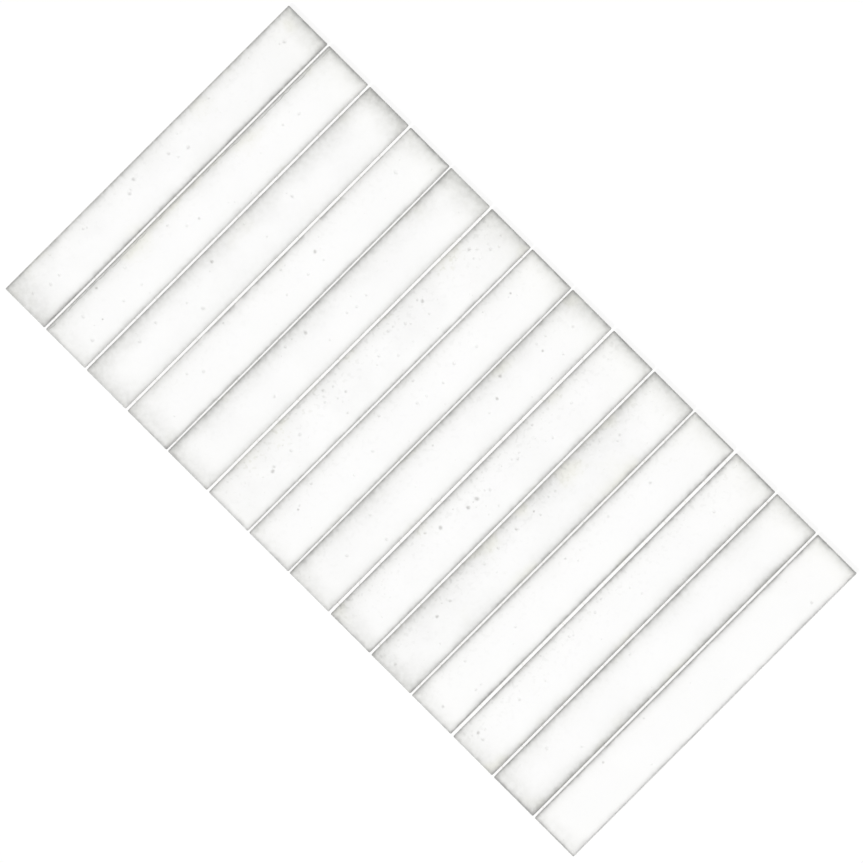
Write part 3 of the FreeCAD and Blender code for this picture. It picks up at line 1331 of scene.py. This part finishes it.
# Each finger's bands and lines set how much painted shade, partly thinner glaze, greys each of its edges
LOOKS = (
    FingerLook(
        bands=(0.37, 0.46, 0.42, 0.42), lines=(0.65, 0.85, 0.38, 0.83), end_spread=1.25, clouding=0.07,
        warmth=0.8, grit=0.12,
        pinholes=pits(
            (-59.6, 0.6, 0.45), (-55.1, 0.4, 0.4, SOFT), (-37.3, -5.3, 0.35), (-36.0, -4.7, 0.25),
            (-16.3, -2.5, 0.45, DARK), (-15.0, -3.3, 0.25, SOFT), (-11.6, -5.2, 0.5, DARK),
            (3.9, -2.7, 0.4, DARK), (5.6, 0.5, 0.35, SOFT), (10.5, 0.7, 0.45, DARK), (28.2, -6.6, 0.3),
            (62.1, -1.8, 0.5), (60.4, -2.4, 0.3, SOFT), (-66.4, -1.8, 0.4, SOFT),
        ),
    ),
    FingerLook(
        bands=(0.55, 0.30, 0.22, 0.34), lines=(0.46, 0.34, 0.51, 0.79), end_spread=0.85, warmth=1.0,
        crawl=0.9,
        pinholes=pits(
            (-63.2, 4.7, 0.5, SOFT), (-59.6, -3.6, 0.45, SOFT), (-55.3, 2.0, 0.25, STARK),
            (-48.9, -7.6, 0.35, STARK), (-45.1, 2.7, 0.4, SOFT), (-36.5, 3.2, 0.35, SOFT),
            (-36.5, -5.4, 0.4, SOFT), (-14.8, -5.4, 0.35), (-10.0, -0.3, 0.35, SOFT),
            (-4.9, 0.9, 0.35, DARK), (40.4, -1.6, 0.35), (47.4, -0.3, 0.4, SOFT),
        ),
    ),
    FingerLook(
        bands=(0.36, 0.19, 0.38, 0.57), lines=(0.52, 0.30, 0.41, 0.69), spread=2.5, end_spread=1.2,
        start_fade=2.0, grit=0.06,
        pinholes=pits(
            (-51.5, -3.6, 0.45, SOFT), (-42.6, -4.3, 0.4), (-29.7, -1.4, 0.3), (-26.8, 4.1, 0.5),
            (-12.7, -5.6, 0.45, STARK), (7.8, 2.0, 0.3, SOFT), (24.6, -1.8, 0.45),
        ),
    ),
    FingerLook(
        bands=(0.30, 0.19, 0.32, 0.36), lines=(0.60, 0.60, 0.65, 0.91), end_spread=1.15, line_breaks=0.9,
        warmth=0.6,
        pinholes=pits(
            (-47.8, -4.1, 0.35, SOFT), (-42.9, -0.5, 0.4), (-25.5, -7.9, 0.3, DARK), (-2.0, 1.2, 0.3),
            (2.8, -6.8, 0.35), (8.7, 1.4, 0.35, SOFT), (16.2, -2.7, 0.45, STARK), (16.4, 1.6, 0.35, SOFT),
            (57.1, -2.3, 0.5, SOFT),
        ),
    ),
    FingerLook(
        bands=(0.64, 0.28, 0.32, 0.51), lines=(0.55, 0.18, 0.58, 0.35), spread=1.2, end_spread=1.1,
        pinholes=pits(
            (-31.1, 3.4, 0.4), (-15.7, -6.6, 0.4), (-12.0, -6.9, 0.3, SOFT), (-6.9, -5.0, 0.5, STARK),
            (-2.6, 3.0, 0.3, SOFT), (8.7, 0.5, 0.35, SOFT), (12.8, 1.4, 0.4, SOFT), (18.2, 0.9, 0.35, SOFT),
        ),
    ),
    FingerLook(
        bands=(0.29, 0.08, 0.05, 0.39), lines=(0.50, 0.57, 0.65, 0.75), line_breaks=0.45, clouding=0.10,
        warmth=0.9, grit=0.24, strays=60,
        pinholes=pits(
            (-50.7, 1.1, 0.5, STARK), (-49.2, 0.3, 0.4, DARK), (-40.8, 0.5, 0.4), (-34.4, -1.4, 0.45),
            (-19.8, -3.2, 0.35), (-17.2, -6.8, 0.35, DARK), (-16.6, 5.4, 0.35), (-15.4, -0.8, 0.3),
            (-13.6, -5.2, 0.35), (-11.6, -0.6, 0.4, DARK), (-18.6, -5.0, 0.3), (5.8, -1.2, 0.35, SOFT),
            (14.6, -5.2, 0.45), (20.9, -2.7, 0.4), (22.2, -1.4, 0.3, SOFT), (29.5, 0.9, 0.3),
            (31.0, -4.1, 0.45, STARK), (30.0, -5.7, 0.3, DARK), (11.0, 3.6, 0.35, SOFT),
            (56.2, -5.4, 0.45, DARK), (58.3, -3.4, 0.4, SOFT), (55.0, -2.0, 0.35, SOFT), (61.7, 0.0, 0.4),
            (64.5, 1.6, 0.3, SOFT), (67.8, -0.9, 0.35),
        ),
    ),
    FingerLook(
        bands=(0.40, 0.28, 0.25, 0.33), lines=(0.40, 0.46, 0.62, 0.94), end_spread=0.9, grit=0.14,
        pinholes=pits(
            (-54.0, -3.3, 0.3, STARK), (-52.6, -4.0, 0.3, SOFT), (-44.0, -6.6, 0.4),
            (-30.8, 2.3, 0.35, SOFT), (-20.0, 0.9, 0.4, SOFT), (-9.4, -6.6, 0.4), (3.6, 0.0, 0.4, SOFT),
            (7.8, 0.5, 0.35, SOFT), (8.3, -7.0, 0.35), (15.5, 1.4, 0.35), (23.2, -0.9, 0.45, SOFT),
            (33.3, 0.7, 0.4), (55.5, -4.3, 0.3, STARK),
        ),
    ),
    FingerLook(
        bands=(0.63, 0.33, 0.27, 0.40), lines=(0.52, 0.32, 0.41, 0.74), spread=1.2, warmth=0.6, grit=0.14,
        pinholes=pits(
            (-53.3, 0.3, 0.4), (-39.0, 6.3, 0.4), (-37.0, -4.1, 0.35, SOFT), (-3.2, -5.9, 0.3, DARK),
            (19.6, 0.3, 0.3), (25.2, -1.4, 0.4, STARK), (31.8, -6.5, 0.5, STARK), (49.0, -2.0, 0.35, STARK),
            (49.2, -5.3, 0.35), (53.5, -5.0, 0.3), (53.5, 4.0, 0.35, SOFT), (63.0, -0.5, 0.35),
        ),
    ),
    FingerLook(
        bands=(0.41, 0.25, 0.33, 0.39), lines=(0.58, 0.60, 0.73, 0.86), line_breaks=0.2, clouding=0.05,
        warmth=0.6, grit=0.22, strays=30,
        pinholes=pits(
            (-27.5, -6.6, 0.4), (-22.2, -3.9, 0.5, STARK), (-10.0, -2.0, 0.5, STARK),
            (-7.3, -2.1, 0.2, DARK), (-5.5, -2.0, 0.55, STARK), (0.1, -0.9, 0.4), (-1.4, -2.2, 0.3),
            (15.1, -1.8, 0.4), (13.4, -3.1, 0.3), (17.0, -3.0, 0.3), (27.4, -6.7, 0.35, DARK),
            (29.5, 1.8, 0.35), (43.1, -2.3, 0.35),
        ),
    ),
    FingerLook(
        bands=(0.63, 0.39, 0.45, 0.38), lines=(0.42, 0.66, 0.33, 0.80), spread=1.45, line_breaks=0.2,
        clouding=0.05, warmth=1.0, grit=0.22, strays=24,
        pinholes=pits(
            (-45.8, -2.9, 0.45, STARK), (-38.5, -3.6, 0.4, DARK), (-20.2, -4.1, 0.4, SOFT),
            (-12.7, -4.7, 0.4), (-3.2, -5.0, 0.4, DARK), (5.8, -5.0, 0.3, STARK), (6.6, -2.4, 0.3),
            (13.3, -5.0, 0.35, SOFT), (16.4, -4.7, 0.35, SOFT), (47.2, -2.7, 0.35), (45.2, -1.6, 0.3, SOFT),
            (-68.6, -1.4, 0.35, DARK),
        ),
    ),
    FingerLook(
        bands=(0.20, 0.30, 0.27, 0.25), lines=(0.60, 0.86, 0.57, 0.80), end_spread=0.9, warmth=0.9,
        grit=0.12,
        pinholes=pits(
            (-67.3, 0.9, 0.4, DARK), (-54.6, 5.0, 0.3), (-51.9, 5.0, 0.3, SOFT), (-50.1, -5.0, 0.35),
            (-28.4, -0.9, 0.3, SOFT), (1.8, -5.6, 0.3, DARK), (4.6, -1.8, 0.3, SOFT),
            (23.5, -5.4, 0.35, SOFT), (42.8, -3.3, 0.4, DARK),
        ),
    ),
    FingerLook(
        bands=(0.17, 0.68, 0.32, 0.22), lines=(0.73, 0.59, 0.54, 0.89), end_spread=0.9, line_breaks=0.25,
        warmth=1.0, grit=0.18, strays=24,
        pinholes=pits(
            (-65.0, -4.5, 0.45, STARK), (-65.5, -1.6, 0.45), (-62.4, -3.6, 0.3), (-67.2, -5.4, 0.3, SOFT),
            (-46.0, -2.3, 0.35), (-17.1, -5.9, 0.4), (-15.8, -5.0, 0.25), (-4.4, -5.4, 0.4),
            (0.6, -7.4, 0.35), (12.4, 1.8, 0.35, SOFT), (51.7, -0.7, 0.4),
        ),
    ),
    FingerLook(
        bands=(0.46, 1.12, 0.30, 0.33), lines=(0.73, 0.40, 0.92, 0.64), end_spread=0.85, line_breaks=0.25,
        grit=0.08, strays=6,
        pinholes=pits(
            (-51.5, -3.8, 0.4, SOFT), (-42.0, 4.7, 0.35, SOFT), (-6.2, -6.6, 0.35, SOFT),
        ),
    ),
    FingerLook(
        bands=(0.05, 0.04, 0.24, 0.22), lines=(0.69, 0.66, 0.89, 0.88), end_spread=0.8, grit=0.04, strays=6,
        pinholes=pits(
            (-40.6, -6.6, 0.35, DARK), (-18.9, -7.6, 0.35, SOFT), (-28.8, 6.3, 0.3, SOFT), (53.5, 5.9, 0.4),
        ),
    ),
)


def thread_pitch() -> float:
    """Distance between the net's threads, in millimetres: an even share of the fingers' mean pitch."""
    middles = [sum(corner.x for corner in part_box(f"finger_{number:02d}")) / 2 for number in (1, len(LOOKS))]
    return (middles[1] - middles[0]) / (len(LOOKS) - 1) / THREADS_PER_FINGER / MM


def main() -> None:
    """Builds the studio, the fingers, the net and the glue."""
    Studio().build()
    effects = Effects()
    bisque = BISQUE.build(effects)
    pitch = thread_pitch()
    fingers = []
    for number, look in enumerate(LOOKS, start=1):
        finger = Finger(f"finger_{number:02d}", number, look, groove_spacing=pitch / GROOVES_PER_THREAD)
        made = finger.build()
        finger.dress(made, effects, bisque)
        fingers.append(finger)
        LOG.info("%s: %d points, %d pits", made.name, len(made.data.vertices), len(finger.pits))
    net = BackingNet("backing_net", pitch)
    woven = net.build()
    net.dress(woven, YARN.build(effects))
    LOG.info("%s: %d points", woven.name, len(woven.data.vertices))
    glue = GlueDabs(fingers, tuple(net.places(net.half[1])[GLUED_THREADS]))
    dabs = glue.build()
    glue.dress(dabs, GLUE.build(effects))
    LOG.info("%s: %d points", dabs.name, len(dabs.data.vertices))


if __name__ == "__main__":
    logging.basicConfig(level=logging.INFO, format="%(message)s")
    main()
